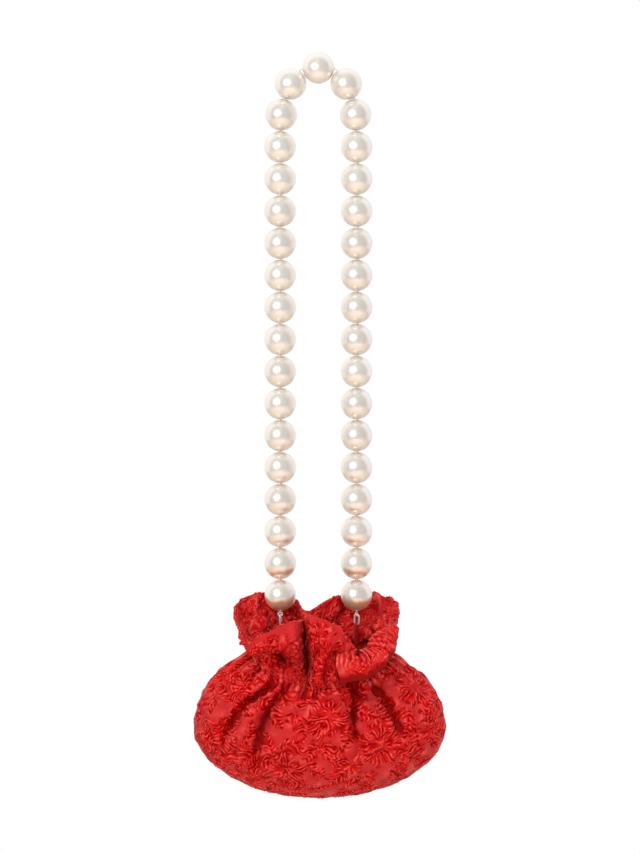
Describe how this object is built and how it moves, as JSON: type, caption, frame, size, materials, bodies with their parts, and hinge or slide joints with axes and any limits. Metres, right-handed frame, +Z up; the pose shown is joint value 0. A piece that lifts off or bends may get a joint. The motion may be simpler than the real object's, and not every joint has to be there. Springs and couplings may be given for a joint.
{
  "type": "silk pouch with pearl strap",
  "caption": "Small gathered silk pouch with a rounded cushion body, a ruffled open mouth and a hanging strap of large round pearls.",
  "frame": {"origin": "underside of the top pearl, in the middle of the strap, where it hangs on a peg or a hand", "axes": "+Z up along the hanging strap, +X across the wide front to its right, -Y towards the viewer of the front"},
  "size_m": [0.1598, 0.0776, 0.473],
  "materials": {
    "silk": "puckered floral silk",
    "pearl": "pearl lustre",
    "silver": "polished",
    "cord": "twisted thread"
  },
  "bodies": {
    "root": {"pouch_shell": "silk", "pearl_01": "pearl", "pearl_02": "pearl", "pearl_03": "pearl", "pearl_04": "pearl", "pearl_05": "pearl", "pearl_06": "pearl", "pearl_07": "pearl", "pearl_08": "pearl", "pearl_09": "pearl", "pearl_10": "pearl", "pearl_11": "pearl", "pearl_12": "pearl", "pearl_13": "pearl", "pearl_14": "pearl", "pearl_15": "pearl", "pearl_16": "pearl", "pearl_17": "pearl", "pearl_18": "pearl", "pearl_19": "pearl", "pearl_20": "pearl", "pearl_21": "pearl", "pearl_22": "pearl", "pearl_23": "pearl", "pearl_24": "pearl", "pearl_25": "pearl", "pearl_26": "pearl", "pearl_27": "pearl", "pearl_28": "pearl", "pearl_29": "pearl", "pearl_30": "pearl", "pearl_31": "pearl", "pearl_32": "pearl", "pearl_33": "pearl", "pearl_34": "pearl", "pearl_35": "pearl", "string": "cord", "end_eye_left": "silver", "end_eye_right": "silver", "link_left": "silver", "link_right": "silver", "anchor_left": "silk", "anchor_right": "silk"}
  },
  "joints": []
}
